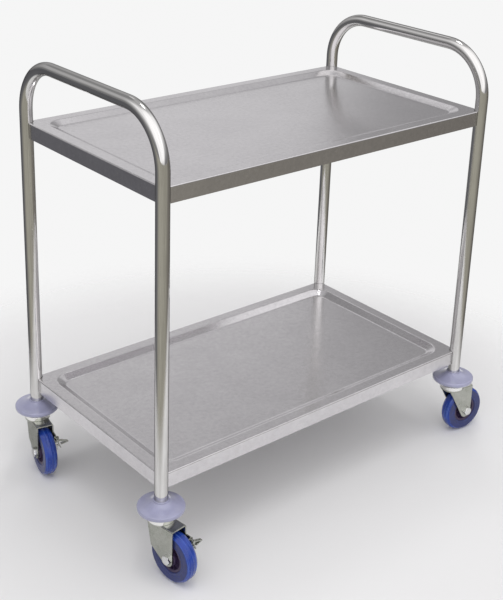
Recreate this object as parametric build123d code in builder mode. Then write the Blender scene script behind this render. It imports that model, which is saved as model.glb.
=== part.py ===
from build123d import *
import os
from math import atan2, cos, degrees, pi, radians, sin, sqrt, tan

os.makedirs("parts", exist_ok=True)

# Two-tier serving trolley on four swivel castors. All sizes are in millimetres. Z = 0 is the floor,
# the length lies along X, and the origin is midway between the four leg axes.

# End frames: one bent tube each
tube_d = 25.0
tube_wall = 1.2
leg_spacing_x = 785.0
leg_spacing_y = 435.0
bend_radius = 97.0
handle_rise = 119.5  # rim of the top tray to the centre line of the handle

# Trays: folded sheet with a sunk panel
sheet = 1.2
tray_wall_height = 30.0
tray_overhang = 2.5  # wall face beyond the leg axis
tier_pitch = 541.0  # rim of the lower tray to rim of the top tray
rim_width = 24.0
rim_bend = 2.5
lower_pan_depth = 9.5
top_pan_depth = 7.5
pan_slope_width = 17.0
pan_corner_radius = 35.0
pan_upper_bend = 6.0
pan_lower_bend = 8.0
lip_width = 12.0
lip_setback = 45.0  # end of a return lip to the tray corner
cope_gap = 0.9  # sheet edge to the leg tube

# Corner saddles and their bolts
saddle_plate = 2.0
saddle_top_gap = 2.0  # saddle to the underside of the rim
saddle_pad_d = 16.0
saddle_pad_rise = 2.0
bolt_d = 6.0
bolt_head_d = 10.0
bolt_head_height = 6.0
bolt_socket_across = 5.0
bolt_socket_depth = 3.0
bolt_tip_reach = 2.0  # leg axis to the tip of the bolt
washer_d = 12.4
washer_thickness = 1.6
rivet_nut_d = 9.0
rivet_nut_bulge_d = 12.0
rivet_nut_bulge_length = 2.0
rivet_nut_tail = 2.6  # leg axis to the inner end of the rivet nut

# Leg feet
bumper_d = 88.0
bumper_edge = 8.0  # thickness of the disc at its rim
bumper_under_rise = 9.5  # base to the lower side of the disc's rim
bumper_base_d = 50.0
bumper_collar_wall = 2.6
bumper_collar_height = 2.5
bumper_floor = 8.0
bumper_socket_depth = 21.0
bumper_edge_round = 3.0
bumper_flare = 2.4  # hollow of the cone half way up it
leg_show = 19.5  # bare tube between bumper and lower tray
plug_height = 36.0

# Castors
wheel_d = 100.0
tyre_width = 26.0
tyre_depth = 22.0
tyre_side_gap = 2.0  # tyre to the fork leg
tread_share = 0.5  # flat of the tread in the tyre's width
tread_crown = 3.8  # shoulder below the tread
shoulder_inset = 1.0
tyre_round = 1.5
core_inset = 2.0  # core rim inside the tyre's flank
core_rim_depth = 4.0
core_web = 8.0
core_draft = 1.5
hub_wall = 4.0
hub_side_gap = 1.5  # hub to the fork leg
trail = 35.0
crown_gap = 9.5  # tyre to the underside of the fork crown
fork_plate = 2.5
fork_bend = 3.0
fork_end_r = 13.5
fork_end_back = 2.0  # centre of the leg's round end behind the axle
fork_end_drop = 2.0  # and below it
plain_fork_rear = 19.0
braked_fork_rear = 18.0
braked_fork_heel = (-8.0, 10.0)  # lower rear corner of the leg: along the trail, above the axle
cup_d = 50.0
cup_wall = 2.5
cup_height = 8.5
cup_round = 1.0

# Swivel bearing
stem_d = 12.0
stem_head_d = 22.0
stem_head_height = 5.0
stem_reach = 31.0  # foot of the leg to the top of the stem
stem_chamfer = 1.0
ball_d = 6.0
race_roof = 5.0
race_lift = 1.2  # fork crown to the underside of the race

# Axle
axle_d = 10.0
axle_head_across = 17.0
axle_head_height = 6.4
axle_tip = 1.5  # bolt beyond the nut
nut_height = 8.0
nut_collar_d = 14.6
nut_collar_height = 2.0
sleeve_wall = 2.0
bush_wall = 2.5

# Side brake: a bent strip on a pin beside the wheel
bracket_plate = 2.0
bracket_height = 18.0
bracket_tail = 8.0  # rear end of the bracket behind the axle
ear_height = 11.0
ear_width = 10.0
pivot_ahead = wheel_d / 4  # middle of the lever ahead of the axle
pivot_rise = 32.0  # lever pin above the axle
lever_width = 6.0
lever_strip = 2.0
lever_hub_d = 8.0
lever_blade = (6.5, -17.5)  # strip ends and bends: outward and upward from the pin
lever_tip = (22.5, -7.5)
lever_return = (8.5, -10.5)
dimple_at = 0.65  # share of the blade's length
dimple_d = 4.8
brake_angle = 30.0
pin_d = 4.0
pin_head_d = 6.4
pin_head_height = 1.6
rivet_d = 4.0
rivet_head_d = 7.0
rivet_outer_head = 1.5
rivet_inner_head = 0.8
rivet_pitch = 12.0

# Clearances
push_fit = 0.05
running_fit = 0.06
ball_play = 0.3
bolt_hole_play = 0.3
stem_head_play = 0.3
side_play = 0.4
end_play = 0.5

# Where each castor points at rest: angle of its trail from +X
castors = {
    "front_left": {"x": -1, "y": -1, "heading": -82.0, "braked": True},
    "rear_left": {"x": -1, "y": 1, "heading": -101.0, "braked": True},
    "front_right": {"x": 1, "y": -1, "heading": -7.0, "braked": False},
    "rear_right": {"x": 1, "y": 1, "heading": 92.0, "braked": False},
}

# Heights that follow, from the floor up
axle_z = wheel_d / 2
pivot_z = axle_z + pivot_rise
crown_z = wheel_d + crown_gap
fork_top_z = crown_z + fork_plate
ball_z = fork_top_z + ball_play / 2 + ball_d / 2
bumper_base_z = ball_z + ball_d / 2 + ball_play + race_roof
leg_foot_z = bumper_base_z + bumper_floor
bumper_top_z = leg_foot_z + bumper_socket_depth
lower_rim_z = bumper_top_z + leg_show + tray_wall_height
top_rim_z = lower_rim_z + tier_pitch
handle_z = top_rim_z + handle_rise

# Other sizes that follow
tube_r = tube_d / 2
bore_r = tube_r - tube_wall
tray_length = leg_spacing_x + 2 * tray_overhang
tray_width = leg_spacing_y + 2 * tray_overhang
pan_length = tray_length - 2 * rim_width
pan_width = tray_width - 2 * rim_width
saddle_r = tube_r + push_fit
saddle_height = tray_wall_height - sheet - saddle_top_gap
pad_face = saddle_r + saddle_plate + saddle_pad_rise
rivet_nut_face = sqrt(tube_r**2 - (rivet_nut_d / 2) ** 2) - push_fit
bulge_face = sqrt(bore_r**2 - (rivet_nut_bulge_d / 2) ** 2) - push_fit
fork_gap = tyre_width + 2 * tyre_side_gap
fork_width = fork_gap + 2 * fork_plate
fork_end = (trail - fork_end_back, axle_z - fork_end_drop)
ball_circle_d = (stem_d + cup_d) / 2 - cup_wall
ball_count = int(pi * ball_circle_d / (ball_d + ball_play))
sleeve_d = axle_d + 2 * push_fit + 2 * sleeve_wall
bush_bore_d = sleeve_d + 2 * running_fit
bush_d = bush_bore_d + 2 * bush_wall
hub_d = bush_d + 2 * hub_wall
hub_width = fork_gap - 2 * hub_side_gap
core_d = wheel_d - 2 * tyre_depth
core_rim_width = tyre_width - 2 * core_inset
tread_width = tyre_width * tread_share
shoulder_width = tyre_width - 2 * shoulder_inset
pivot_s = fork_width / 2 + bracket_plate
blade_lean = atan2(lever_blade[0], -lever_blade[1])
blade_out = (cos(blade_lean), sin(blade_lean))  # square to the blade, away from the wheel
rivet_u = trail - bracket_tail + rivet_head_d / 2
rivet_spots = [(rivet_u, pivot_z), (rivet_u + rivet_pitch, pivot_z)]


def leg_axis(corner):
    """Centre of one leg in plan."""
    spot = castors[corner]
    return spot["x"] * leg_spacing_x / 2, spot["y"] * leg_spacing_y / 2


def bolt_plane(corner, rim_z):
    """Plane on a leg's axis at the tray bolt, facing the middle of the trolley along the diagonal."""
    spot = castors[corner]
    x, y = leg_axis(corner)
    z = rim_z - tray_wall_height + saddle_height / 2
    return Plane(origin=(x, y, z), z_dir=(-spot["x"], -spot["y"], 0))


def dimple_height():
    """Rise of the blade's dimple that leaves the side play to the tyre with the brake on."""
    at_s = lever_blade[0] * dimple_at
    at_z = lever_blade[1] * dimple_at
    turn = radians(brake_angle)
    blade_s = at_s * cos(turn) + at_z * sin(turn)
    inward = cos(blade_lean - turn)
    reach = pivot_s + blade_s - tyre_width / 2 - side_play
    return reach / inward


def write(piece, node):
    """Label a finished piece and save it under its node's name."""
    piece.part.label = node
    export_step(piece.part, f"parts/{node}.step")


def make_end_frame(node, side):
    """Leg, handle and leg bent from one tube, drilled for the rivet nuts."""
    x = side * leg_spacing_x / 2
    half = leg_spacing_y / 2
    with BuildPart() as end_frame:
        with BuildLine(Plane.YZ.offset(x)):
            FilletPolyline(
                (-half, leg_foot_z),
                (-half, handle_z),
                (half, handle_z),
                (half, leg_foot_z),
                radius=bend_radius,
            )
        with BuildSketch(Plane(origin=(x, -half, leg_foot_z))):
            Circle(tube_r)
            Circle(bore_r, mode=Mode.SUBTRACT)
        sweep()
        for corner, spot in castors.items():
            if spot["x"] == side:
                for rim_z in (lower_rim_z, top_rim_z):
                    with BuildSketch(bolt_plane(corner, rim_z)):
                        Circle(rivet_nut_d / 2 + push_fit)
                    extrude(amount=tube_d, mode=Mode.SUBTRACT)
    write(end_frame, node)


def make_tray(node, rim_z, pan_depth):
    """Folded tray: walls, rim, sunk panel, return lips, and corners cut round the legs."""
    foot_z = rim_z - tray_wall_height
    pan_taper = degrees(atan2(pan_slope_width, pan_depth))
    pan_spread = sheet * tan(radians(90.0 - pan_taper) / 2)  # keeps the sheet even round the bend
    with BuildPart() as tray:
        with BuildSketch(Plane.XY.offset(foot_z)):
            Rectangle(tray_length, tray_width)
        extrude(amount=tray_wall_height)
        fillet(tray.faces().sort_by(Axis.Z)[-1].edges(), radius=rim_bend)
        with BuildSketch(Plane.XY.offset(foot_z)):
            Rectangle(tray_length - 2 * sheet, tray_width - 2 * sheet)
        extrude(amount=tray_wall_height - sheet, mode=Mode.SUBTRACT)
        under_rim = tray.faces().filter_by(Axis.Z).group_by(Axis.Z)[-2][0]
        fillet(under_rim.edges(), radius=rim_bend - sheet)
        with BuildSketch(Plane.XY.offset(rim_z - sheet)):
            RectangleRounded(
                pan_length + 2 * pan_spread, pan_width + 2 * pan_spread, pan_corner_radius + pan_spread
            )
        extrude(amount=-pan_depth, taper=pan_taper)
        with BuildSketch(Plane.XY.offset(rim_z)):
            RectangleRounded(pan_length, pan_width, pan_corner_radius)
        extrude(amount=-pan_depth, taper=pan_taper, mode=Mode.SUBTRACT)
        panel = tray.faces().filter_by(Axis.Z).group_by(Axis.Z)[-3][0]
        fillet(panel.edges(), radius=pan_lower_bend)
        rim = tray.faces().filter_by(Axis.Z).group_by(Axis.Z)[-1][0]
        fillet(rim.inner_wires()[0].edges(), radius=pan_upper_bend)
        with BuildSketch(Plane.XY.offset(foot_z)):
            with GridLocations(leg_spacing_x, leg_spacing_y, 2, 2):
                Circle(tube_r + cope_gap)
        extrude(amount=tray_wall_height, mode=Mode.SUBTRACT)
        with BuildSketch(Plane.XY.offset(foot_z)):
            with GridLocations(0, tray_width - lip_width, 1, 2):
                Rectangle(tray_length - 2 * lip_setback, lip_width)
            with GridLocations(tray_length - lip_width, 0, 2, 1):
                Rectangle(lip_width, tray_width - 2 * lip_setback)
        extrude(amount=sheet)
    write(tray, node)


def make_saddles(node, rim_z):
    """Curved plates inside the tray corners, each with a flat pad for its bolt."""
    foot = Plane.XY.offset(rim_z - tray_wall_height)
    with BuildPart() as saddles:
        with BuildSketch(foot):
            with GridLocations(leg_spacing_x, leg_spacing_y, 2, 2):
                Circle(saddle_r + saddle_plate)
            Rectangle(tray_length - 2 * sheet, tray_width - 2 * sheet, mode=Mode.INTERSECT)
        extrude(amount=saddle_height)
        for corner in castors:
            with BuildSketch(bolt_plane(corner, rim_z)):
                Circle(saddle_pad_d / 2)
            extrude(amount=pad_face)
        with BuildSketch(foot):
            with GridLocations(leg_spacing_x, leg_spacing_y, 2, 2):
                Circle(saddle_r)
        extrude(amount=saddle_height, mode=Mode.SUBTRACT)
        for corner in castors:
            with BuildSketch(bolt_plane(corner, rim_z)):
                Circle(bolt_d / 2 + bolt_hole_play)
            extrude(amount=pad_face, mode=Mode.SUBTRACT)
    write(saddles, node)


def make_tray_fasteners():
    """Bolts, washers and rivet nuts of all eight tray corners, one node for each kind."""
    planes = [bolt_plane(corner, rim_z) for rim_z in (lower_rim_z, top_rim_z) for corner in castors]
    head_seat = pad_face + washer_thickness
    with BuildPart() as washers:
        for plane in planes:
            with BuildSketch(plane.offset(pad_face)):
                Circle(washer_d / 2)
                Circle(bolt_d / 2 + bolt_hole_play, mode=Mode.SUBTRACT)
            extrude(amount=washer_thickness)
    write(washers, "tray_washers")
    with BuildPart() as bolts:
        for plane in planes:
            with BuildSketch(plane.offset(bolt_tip_reach)):
                Circle(bolt_d / 2)
            extrude(amount=head_seat - bolt_tip_reach)
            with BuildSketch(plane.offset(head_seat)):
                Circle(bolt_head_d / 2)
            extrude(amount=bolt_head_height)
            with BuildSketch(plane.offset(head_seat + bolt_head_height)):
                RegularPolygon(bolt_socket_across / 2, 6, major_radius=False)
            extrude(amount=-bolt_socket_depth, mode=Mode.SUBTRACT)
    write(bolts, "tray_bolts")
    with BuildPart() as rivet_nuts:
        for plane in planes:
            with BuildSketch(plane.offset(rivet_nut_tail)):
                Circle(rivet_nut_d / 2)
            extrude(amount=rivet_nut_face - rivet_nut_tail)
            with BuildSketch(plane.offset(bulge_face)):
                Circle(rivet_nut_bulge_d / 2)
            extrude(amount=-rivet_nut_bulge_length)
            with BuildSketch(plane):
                Circle(bolt_d / 2 + push_fit)
            extrude(amount=tube_d, mode=Mode.SUBTRACT)
    write(rivet_nuts, "leg_rivet_nuts")


def make_leg_plugs():
    """Threaded plugs in the feet of the four legs."""
    with BuildPart() as plugs:
        with BuildSketch(Plane.XY.offset(leg_foot_z)):
            with GridLocations(leg_spacing_x, leg_spacing_y, 2, 2):
                Circle(bore_r - push_fit)
                Circle(stem_d / 2 + push_fit, mode=Mode.SUBTRACT)
        extrude(amount=plug_height)
    write(plugs, "leg_plugs")


def make_races():
    """Upper halves of the swivel bearings, each with a round groove over the balls."""
    with BuildPart() as races:
        with BuildSketch(Plane.XY.offset(fork_top_z + race_lift)):
            with GridLocations(leg_spacing_x, leg_spacing_y, 2, 2):
                Circle(cup_d / 2 - cup_wall - end_play)
                Circle(stem_d / 2 + push_fit, mode=Mode.SUBTRACT)
        extrude(amount=bumper_base_z - fork_top_z - race_lift)
        with Locations(Plane.XY.offset(ball_z)):
            with GridLocations(leg_spacing_x, leg_spacing_y, 2, 2):
                Torus(ball_circle_d / 2, ball_d / 2 + ball_play, mode=Mode.SUBTRACT)
    write(races, "swivel_top_races")


def make_bumper(corner):
    """Plastic disc on the foot of a leg: hollow cone above, cupped underside, collar round the tube."""
    x, y = leg_axis(corner)
    edge_low = bumper_base_z + bumper_under_rise
    edge_high = edge_low + bumper_edge
    collar_r = tube_r + push_fit + bumper_collar_wall
    cone_z = bumper_top_z - bumper_collar_height
    cone_middle = ((bumper_d / 2 + collar_r) / 2, (edge_high + cone_z) / 2 - bumper_flare)
    with BuildPart() as bumper:
        with BuildSketch(Plane(origin=(x, y, 0), x_dir=(1, 0, 0), z_dir=(0, -1, 0))) as profile:
            with BuildLine():
                ThreePointArc((bumper_d / 2, edge_high), cone_middle, (collar_r, cone_z))
                Polyline(
                    (collar_r, cone_z),
                    (collar_r, bumper_top_z),
                    (tube_r + push_fit, bumper_top_z),
                    (tube_r + push_fit, leg_foot_z),
                    (stem_d / 2 + push_fit, leg_foot_z),
                    (stem_d / 2 + push_fit, bumper_base_z),
                    (bumper_base_d / 2, bumper_base_z),
                    (bumper_d / 2, edge_low),
                    (bumper_d / 2, edge_high),
                )
            make_face()
            fillet(profile.vertices().group_by(Axis.X)[-1], radius=bumper_edge_round)
        revolve(axis=Axis((x, y, 0), (0, 0, 1)))
    write(bumper, f"{corner}_bumper")


def make_stem(corner):
    """Castor stem with the riveted head that carries the fork."""
    x, y = leg_axis(corner)
    head_top = crown_z - stem_head_play
    top = leg_foot_z + stem_reach
    with BuildPart() as stem:
        with BuildSketch(Plane(origin=(x, y, head_top - stem_head_height))):
            Circle(stem_head_d / 2)
        extrude(amount=stem_head_height)
        with BuildSketch(Plane(origin=(x, y, head_top))):
            Circle(stem_d / 2)
        extrude(amount=top - head_top)
        chamfer(stem.faces().sort_by(Axis.Z)[-1].edges(), length=stem_chamfer)
    write(stem, f"{corner}_castor_stem")


def make_fork(corner, base, side):
    """Pressed fork with a round bearing cup on its crown."""
    braked = castors[corner]["braked"]
    rear = braked_fork_rear if braked else plain_fork_rear
    front = fork_end[0] + fork_end_r
    heel = (braked_fork_heel[0], axle_z + braked_fork_heel[1])
    with BuildPart() as fork:
        with BuildSketch(side):
            with Locations(fork_end):
                Circle(fork_end_r)
            with BuildLine():
                Polyline((front, fork_top_z), (-rear, fork_top_z))
                if braked:
                    Line((-rear, fork_top_z), heel)
            make_hull()
        extrude(amount=fork_width / 2, both=True)
        crown = fork.faces().sort_by(Axis.Z)[-1]
        fillet(crown.edges().filter_by(Axis(base.origin, base.x_dir)), radius=fork_bend)
        with BuildSketch(base):
            Rectangle(2 * (rear + front), fork_gap)
        extrude(amount=crown_z, mode=Mode.SUBTRACT)
        with BuildSketch(base.offset(crown_z)):
            Circle(cup_d / 2)
        extrude(amount=fork_plate + cup_height)
        with BuildSketch(base.offset(fork_top_z)):
            Circle(cup_d / 2 - cup_wall)
        extrude(amount=cup_height, mode=Mode.SUBTRACT)
        fillet(fork.faces().sort_by(Axis.Z)[-1].edges(), radius=cup_round)
        with BuildSketch(base.offset(crown_z)):
            Circle(stem_d / 2 + running_fit)
        extrude(amount=fork_plate, mode=Mode.SUBTRACT)
        with BuildSketch(side):
            with Locations((trail, axle_z)):
                Circle(axle_d / 2 + push_fit)
        extrude(amount=fork_width, both=True, mode=Mode.SUBTRACT)
        if braked:
            with BuildSketch(side):
                with Locations(*rivet_spots):
                    Circle(rivet_d / 2 + push_fit)
            extrude(amount=-fork_width, mode=Mode.SUBTRACT)
    write(fork, f"{corner}_fork")


def make_balls(corner, base):
    """Ring of bearing balls between the fork's cup and the top race."""
    with BuildPart() as balls:
        with Locations(base.offset(ball_z)):
            with PolarLocations(ball_circle_d / 2, ball_count):
                Sphere(ball_d / 2)
    write(balls, f"{corner}_swivel_balls")


def make_axle(corner, across):
    """Axle bolt, its nut and the sleeve clamped between the fork legs."""
    with BuildPart() as bolt:
        with BuildSketch(across.offset(-fork_width / 2)):
            RegularPolygon(axle_head_across / 2, 6, major_radius=False)
        extrude(amount=-axle_head_height)
        with BuildSketch(across.offset(-fork_width / 2)):
            Circle(axle_d / 2)
        extrude(amount=fork_width + nut_height + nut_collar_height + axle_tip)
    write(bolt, f"{corner}_axle_bolt")
    with BuildPart() as nut:
        with BuildSketch(across.offset(fork_width / 2)):
            RegularPolygon(axle_head_across / 2, 6, major_radius=False)
        extrude(amount=nut_height)
        with BuildSketch(across.offset(fork_width / 2 + nut_height)):
            Circle(nut_collar_d / 2)
        extrude(amount=nut_collar_height)
        with BuildSketch(across.offset(fork_width / 2)):
            Circle(axle_d / 2 + push_fit)
        extrude(amount=nut_height + nut_collar_height, mode=Mode.SUBTRACT)
    write(nut, f"{corner}_axle_nut")
    with BuildPart() as sleeve:
        with BuildSketch(across):
            Circle(sleeve_d / 2)
            Circle(axle_d / 2 + push_fit, mode=Mode.SUBTRACT)
        extrude(amount=fork_gap / 2 - push_fit, both=True)
    write(sleeve, f"{corner}_axle_sleeve")


def make_wheel(corner, across, axle):
    """Tyre, core and bush, turned about the axle."""
    half_plane = Plane(origin=across.origin, x_dir=across.z_dir, z_dir=across.x_dir)
    with BuildPart() as tyre:
        with BuildSketch(half_plane) as section:
            with BuildLine():
                Polyline(
                    (-core_rim_width / 2, core_d / 2 + push_fit),
                    (-tyre_width / 2, core_d / 2 + core_draft),
                    (-tyre_width / 2, wheel_d / 2 - tread_crown - core_draft),
                    (-shoulder_width / 2, wheel_d / 2 - tread_crown),
                    (-tread_width / 2, wheel_d / 2),
                    (tread_width / 2, wheel_d / 2),
                    (shoulder_width / 2, wheel_d / 2 - tread_crown),
                    (tyre_width / 2, wheel_d / 2 - tread_crown - core_draft),
                    (tyre_width / 2, core_d / 2 + core_draft),
                    (core_rim_width / 2, core_d / 2 + push_fit),
                    close=True,
                )
            make_face()
            fillet(section.vertices().group_by(Axis.Y)[-1], radius=tyre_round)
        revolve(axis=axle)
    write(tyre, f"{corner}_tyre")
    with BuildPart() as core:
        with BuildSketch(half_plane):
            with BuildLine():
                Polyline(
                    (-hub_width / 2, bush_d / 2 + push_fit),
                    (-hub_width / 2, hub_d / 2),
                    (-core_web / 2, hub_d / 2 + core_draft),
                    (-core_web / 2, core_d / 2 - core_rim_depth - core_draft),
                    (-core_rim_width / 2, core_d / 2 - core_rim_depth),
                    (-core_rim_width / 2, core_d / 2),
                    (core_rim_width / 2, core_d / 2),
                    (core_rim_width / 2, core_d / 2 - core_rim_depth),
                    (core_web / 2, core_d / 2 - core_rim_depth - core_draft),
                    (core_web / 2, hub_d / 2 + core_draft),
                    (hub_width / 2, hub_d / 2),
                    (hub_width / 2, bush_d / 2 + push_fit),
                    close=True,
                )
            make_face()
        revolve(axis=axle)
    write(core, f"{corner}_wheel_core")
    with BuildPart() as bush:
        with BuildSketch(across):
            Circle(bush_d / 2)
            Circle(bush_bore_d / 2, mode=Mode.SUBTRACT)
        extrude(amount=hub_width / 2, both=True)
    write(bush, f"{corner}_wheel_bush")


def make_brake(corner, base, side):
    """Bracket with one ear, its rivets, the pivot pin and the bent lever."""
    flank = side.offset(-fork_width / 2)
    lever_back = trail + pivot_ahead - lever_width / 2
    ear_front = lever_back - end_play
    facing = Plane(origin=base.origin, x_dir=base.y_dir, z_dir=base.x_dir)
    ear_face = facing.offset(ear_front)
    lever_face = facing.offset(lever_back)
    with BuildPart() as bracket:
        with BuildSketch(flank):
            with Locations((trail - bracket_tail, pivot_z)):
                Rectangle(ear_front - trail + bracket_tail, bracket_height, align=(Align.MIN, Align.CENTER))
        extrude(amount=-bracket_plate)
        with BuildSketch(ear_face):
            with Locations((pivot_s, pivot_z)):
                RectangleRounded(ear_width, ear_height, pin_d / 2)
        extrude(amount=-bracket_plate)
        with BuildSketch(ear_face):
            with Locations((pivot_s, pivot_z)):
                Circle(pin_d / 2 + push_fit)
        extrude(amount=-bracket_plate, mode=Mode.SUBTRACT)
        with BuildSketch(flank):
            with Locations(*rivet_spots):
                Circle(rivet_d / 2 + push_fit)
        extrude(amount=-bracket_plate, mode=Mode.SUBTRACT)
    write(bracket, f"{corner}_brake_bracket")
    with BuildPart() as rivets:
        with BuildSketch(flank.offset(fork_plate)):
            with Locations(*rivet_spots):
                Circle(rivet_d / 2)
        extrude(amount=-fork_plate - bracket_plate)
        with BuildSketch(flank.offset(fork_plate)):
            with Locations(*rivet_spots):
                Circle(rivet_head_d / 2)
        extrude(amount=rivet_inner_head)
        with BuildSketch(flank.offset(-bracket_plate)):
            with Locations(*rivet_spots):
                Circle(rivet_head_d / 2)
        extrude(amount=-rivet_outer_head)
    write(rivets, f"{corner}_brake_rivets")
    with BuildPart() as pin:
        with BuildSketch(ear_face.offset(-bracket_plate)):
            with Locations((pivot_s, pivot_z)):
                Circle(pin_d / 2)
        extrude(amount=bracket_plate + lever_width + 2 * end_play)
        with BuildSketch(lever_face.offset(lever_width + end_play)):
            with Locations((pivot_s, pivot_z)):
                Circle(pin_head_d / 2)
        extrude(amount=pin_head_height)
    write(pin, f"{corner}_brake_pin")
    dimple_s = lever_blade[0] * dimple_at
    dimple_z = lever_blade[1] * dimple_at
    into_wheel = -base.y_dir * blade_out[0] - Vector(0, 0, 1) * blade_out[1]
    dimple_root = base.origin + base.x_dir * (trail + pivot_ahead) + base.y_dir * (pivot_s + dimple_s)
    dimple_root = dimple_root + Vector(0, 0, pivot_z + dimple_z)
    with BuildPart() as lever:
        with BuildSketch(lever_face):
            with Locations((pivot_s, pivot_z)):
                Circle(lever_hub_d / 2)
                for start, end in (((0, 0), lever_blade), ((0, 0), lever_tip), (lever_tip, lever_return)):
                    run = Vector(*end) - Vector(*start)
                    middle = (Vector(*end) + Vector(*start)) * 0.5
                    with Locations(middle):
                        slope = degrees(atan2(run.Y, run.X))
                        SlotCenterToCenter(run.length, lever_strip, rotation=slope)
                Circle(pin_d / 2 + running_fit, mode=Mode.SUBTRACT)
        extrude(amount=lever_width)
        with BuildSketch(Plane(origin=dimple_root, z_dir=into_wheel)):
            Circle(dimple_d / 2)
        extrude(amount=dimple_height())
    write(lever, f"{corner}_brake_lever")


def make_castor(corner):
    """Everything that swivels below one leg."""
    x, y = leg_axis(corner)
    heading = radians(castors[corner]["heading"])
    base = Plane(origin=(x, y, 0), x_dir=(cos(heading), sin(heading), 0), z_dir=(0, 0, 1))
    side = Plane(origin=base.origin, x_dir=base.x_dir, z_dir=-base.y_dir)
    hub = base.origin + base.x_dir * trail + Vector(0, 0, axle_z)
    across = Plane(origin=hub, x_dir=base.x_dir, z_dir=base.y_dir)
    make_fork(corner, base, side)
    make_balls(corner, base)
    make_axle(corner, across)
    make_wheel(corner, across, Axis(hub, base.y_dir))
    if castors[corner]["braked"]:
        make_brake(corner, base, side)


make_end_frame("left_end_frame", -1)
make_end_frame("right_end_frame", 1)
make_tray("lower_tray", lower_rim_z, lower_pan_depth)
make_tray("top_tray", top_rim_z, top_pan_depth)
make_saddles("lower_tray_saddles", lower_rim_z)
make_saddles("top_tray_saddles", top_rim_z)
make_tray_fasteners()
make_leg_plugs()
make_races()
for corner in castors:
    make_bumper(corner)
    make_stem(corner)
    make_castor(corner)
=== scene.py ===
"""Two-tier serving trolley: finishes, finely shaped pieces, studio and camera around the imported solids.

Lengths are in metres, in the frame of the solids: Z = 0 is the floor and the trolley's length lies along X.
"""

import logging
import math
from dataclasses import dataclass, field
from enum import Enum
from functools import cache
from typing import Any, Callable, Optional, Union

import bmesh
import bpy
import numpy as np
from mathutils import Matrix, Vector


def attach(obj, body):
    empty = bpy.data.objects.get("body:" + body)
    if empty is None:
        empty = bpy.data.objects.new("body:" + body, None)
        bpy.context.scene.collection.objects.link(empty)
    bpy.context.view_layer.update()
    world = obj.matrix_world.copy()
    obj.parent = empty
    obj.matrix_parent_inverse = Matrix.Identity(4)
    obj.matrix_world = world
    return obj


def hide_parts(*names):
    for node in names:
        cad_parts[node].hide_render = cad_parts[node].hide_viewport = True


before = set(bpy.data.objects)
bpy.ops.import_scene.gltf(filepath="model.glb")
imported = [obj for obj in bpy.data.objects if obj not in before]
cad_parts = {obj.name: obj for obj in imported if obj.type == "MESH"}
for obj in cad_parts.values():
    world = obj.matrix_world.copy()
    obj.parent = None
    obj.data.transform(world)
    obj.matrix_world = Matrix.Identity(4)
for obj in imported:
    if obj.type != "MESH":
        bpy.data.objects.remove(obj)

log = logging.getLogger("trolley")

Pair = tuple[float, float]
Triple = tuple[float, float, float]
Colour = tuple[float, float, float]
Outline = tuple[Pair, ...]
Number = Union[float, int, "Wire"]

MM = 0.001
HALF_LENGTH = 392.5 * MM  # middle of the trolley to the legs, along X
HALF_WIDTH = 217.5 * MM  # and along Y
LEG_FOOT = 131.45 * MM  # height of the tubes' lower ends
WELD_DISTANCE = 1e-7
NOISE_MEAN = 0.5
EDGE_SAMPLES = 6

# Sockets of a Mix node that mixes colours. Their names are shared with other modes.
MIX_SHARE, MIX_FIRST, MIX_SECOND, MIX_RESULT = 0, 6, 7, 2


class Grain(Enum):
    """Direction in which a finish was worked, as the stretch of its noise along each coordinate."""

    EVEN = (1.0, 1.0, 1.0)
    ALONG_TUBE = (0.02, 1.0, 1.0)
    ROUND_TYRE = (1.0, 0.03, 1.0)


class Places(Enum):
    """Where a pattern takes its coordinates from."""

    OBJECT = "Object"
    SURFACE = "UV"


class Wire:
    """One value in a node tree, on which Python's operators add Math nodes."""

    def __init__(self, bench: "Bench", socket: Optional[bpy.types.NodeSocket]) -> None:
        """Keep the tree and the socket that gives the value."""
        self.bench = bench
        self.socket = socket

    def _math(self, operation: str, first: Number, second: Number) -> "Wire":
        """Add one Math node.

        Args:
            operation: name of the Math node's operation.
            first: left operand.
            second: right operand.

        Returns:
            The node's result.
        """
        return self.bench.node("ShaderNodeMath", {"operation": operation}, {0: first, 1: second})

    def __add__(self, other: Number) -> "Wire":
        """Sum."""
        return self._math("ADD", self, other)

    def __radd__(self, other: Number) -> "Wire":
        """Sum with the number first."""
        return self._math("ADD", other, self)

    def __sub__(self, other: Number) -> "Wire":
        """Difference."""
        return self._math("SUBTRACT", self, other)

    def __rsub__(self, other: Number) -> "Wire":
        """Difference with the number first."""
        return self._math("SUBTRACT", other, self)

    def __mul__(self, other: Number) -> "Wire":
        """Product."""
        return self._math("MULTIPLY", self, other)

    def __rmul__(self, other: Number) -> "Wire":
        """Product with the number first."""
        return self._math("MULTIPLY", other, self)

    def __abs__(self) -> "Wire":
        """Size without the sign."""
        return self._math("ABSOLUTE", self, 0.0)

    def most(self, other: Number) -> "Wire":
        """The larger of two values."""
        return self._math("MAXIMUM", self, other)

    def band(self, low: float, high: float) -> "Wire":
        """Smooth step of the value.

        Args:
            low: value at which the step starts from 0.
            high: value at which it reaches 1.

        Returns:
            The step, held between 0 and 1.
        """
        settings = {"interpolation_type": "SMOOTHSTEP"}
        inputs = {"Value": self, "From Min": low, "From Max": high}
        return self.bench.node("ShaderNodeMapRange", settings, inputs)


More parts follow.
